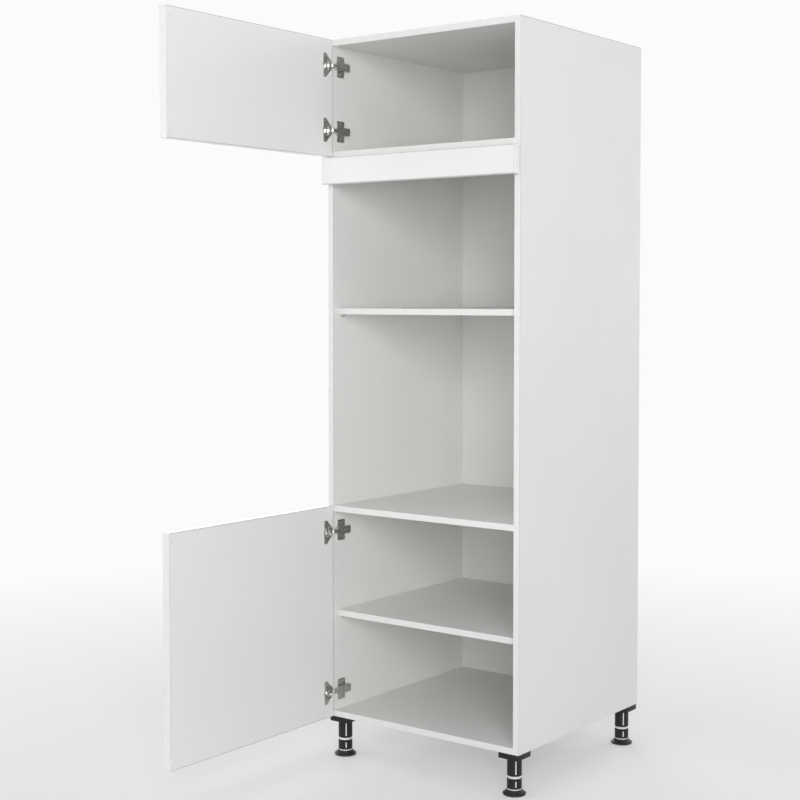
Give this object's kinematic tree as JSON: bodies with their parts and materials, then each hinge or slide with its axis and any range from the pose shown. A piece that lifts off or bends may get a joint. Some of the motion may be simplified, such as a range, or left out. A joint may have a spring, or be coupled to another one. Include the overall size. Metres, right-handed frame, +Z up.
{
  "type": "tall oven housing unit",
  "caption": "Tall frameless kitchen cabinet on adjustable legs, with stacked open appliance niches, an adjustable shelf between them and a hinged door above and below.",
  "frame": {"origin": "on the floor, midway between the sides, in the plane of the carcass front edges", "axes": "+Z up, +Y from the carcass front to its back, +X from the hinged side to the other side"},
  "size_m": [0.604, 1.2, 1.895],
  "materials": {
    "carcass_board": "white melamine-faced board, fine matte grain",
    "front_board": "white satin front",
    "back_board": "white foil-faced thin board, matte",
    "leg_plastic": "black moulded plastic, fine texture",
    "hinge_nickel": "nickel-plated pressed steel",
    "screw_steel": "zinc-plated, turned",
    "shelf_support": "nickel-plated, satin",
    "bracket_steel": "zinc-plated sheet"
  },
  "bodies": {
    "carcass": {"side_panel_left": "carcass_board", "side_panel_right": "carcass_board", "bottom_panel": "carcass_board", "top_panel": "carcass_board", "oven_shelf": "carcass_board", "upper_shelf": "carcass_board", "back_panel_lower": "back_board", "back_panel_middle": "back_board", "back_panel_upper": "back_board", "niche_shelf_support_front_left": "shelf_support", "niche_shelf_support_rear_left": "shelf_support", "niche_shelf_support_front_right": "shelf_support", "niche_shelf_support_rear_right": "shelf_support", "lower_shelf_support_front_left": "shelf_support", "lower_shelf_support_rear_left": "shelf_support", "lower_shelf_support_front_right": "shelf_support", "lower_shelf_support_rear_right": "shelf_support", "filler_strip": "front_board", "filler_bracket_left": "bracket_steel", "filler_bracket_right": "bracket_steel", "upper_door_lower_hinge_arm": "hinge_nickel", "upper_door_lower_hinge_plate": "hinge_nickel", "upper_door_lower_hinge_fixing_screw": "screw_steel", "upper_door_lower_hinge_set_screw": "screw_steel", "upper_door_upper_hinge_arm": "hinge_nickel", "upper_door_upper_hinge_plate": "hinge_nickel", "upper_door_upper_hinge_fixing_screw": "screw_steel", "upper_door_upper_hinge_set_screw": "screw_steel", "lower_door_lower_hinge_arm": "hinge_nickel", "lower_door_lower_hinge_plate": "hinge_nickel", "lower_door_lower_hinge_fixing_screw": "screw_steel", "lower_door_lower_hinge_set_screw": "screw_steel", "lower_door_upper_hinge_arm": "hinge_nickel", "lower_door_upper_hinge_plate": "hinge_nickel", "lower_door_upper_hinge_fixing_screw": "screw_steel", "lower_door_upper_hinge_set_screw": "screw_steel", "leg_front_left_socket": "leg_plastic", "leg_front_left_tube": "leg_plastic", "leg_rear_left_socket": "leg_plastic", "leg_rear_left_tube": "leg_plastic", "leg_front_right_socket": "leg_plastic", "leg_front_right_tube": "leg_plastic", "leg_rear_right_socket": "leg_plastic", "leg_rear_right_tube": "leg_plastic"},
    "upper_door": {"upper_door": "front_board", "upper_door_lower_hinge_cup": "hinge_nickel", "upper_door_lower_hinge_pin": "screw_steel", "upper_door_upper_hinge_cup": "hinge_nickel", "upper_door_upper_hinge_pin": "screw_steel"},
    "lower_door": {"lower_door": "front_board", "lower_door_lower_hinge_cup": "hinge_nickel", "lower_door_lower_hinge_pin": "screw_steel", "lower_door_upper_hinge_cup": "hinge_nickel", "lower_door_upper_hinge_pin": "screw_steel"},
    "niche_shelf": {"niche_shelf": "carcass_board"},
    "lower_shelf": {"lower_shelf": "carcass_board"},
    "foot_front_left": {"leg_front_left_foot": "leg_plastic"},
    "foot_rear_left": {"leg_rear_left_foot": "leg_plastic"},
    "foot_front_right": {"leg_front_right_foot": "leg_plastic"},
    "foot_rear_right": {"leg_rear_right_foot": "leg_plastic"}
  },
  "joints": [
    {"name": "upper_door_hinge", "type": "hinge", "parent": "carcass", "child": "upper_door", "pos_m": [-0.29025, -0.01125, 1.7425], "axis": [0, 0, 1], "range_deg": [-15, 90]},
    {"name": "lower_door_hinge", "type": "hinge", "parent": "carcass", "child": "lower_door", "pos_m": [-0.29025, -0.01125, 0.389], "axis": [0, 0, 1], "range_deg": [-15, 90]},
    {"name": "niche_shelf_lift", "type": "slide", "parent": "carcass", "child": "niche_shelf", "axis": [0, 0, 1], "range_m": [0, 0.128]},
    {"name": "lower_shelf_lift", "type": "slide", "parent": "carcass", "child": "lower_shelf", "axis": [0, 0, 1], "range_m": [0, 0.064]},
    {"name": "foot_front_left_turn", "type": "hinge", "parent": "carcass", "child": "foot_front_left", "pos_m": [-0.269, 0.031, 0], "axis": [0, 0, 1], "continuous": true},
    {"name": "foot_rear_left_turn", "type": "hinge", "parent": "carcass", "child": "foot_rear_left", "pos_m": [-0.269, 0.569, 0], "axis": [0, 0, 1], "continuous": true},
    {"name": "foot_front_right_turn", "type": "hinge", "parent": "carcass", "child": "foot_front_right", "pos_m": [0.269, 0.031, 0], "axis": [0, 0, 1], "continuous": true},
    {"name": "foot_rear_right_turn", "type": "hinge", "parent": "carcass", "child": "foot_rear_right", "pos_m": [0.269, 0.569, 0], "axis": [0, 0, 1], "continuous": true}
  ]
}
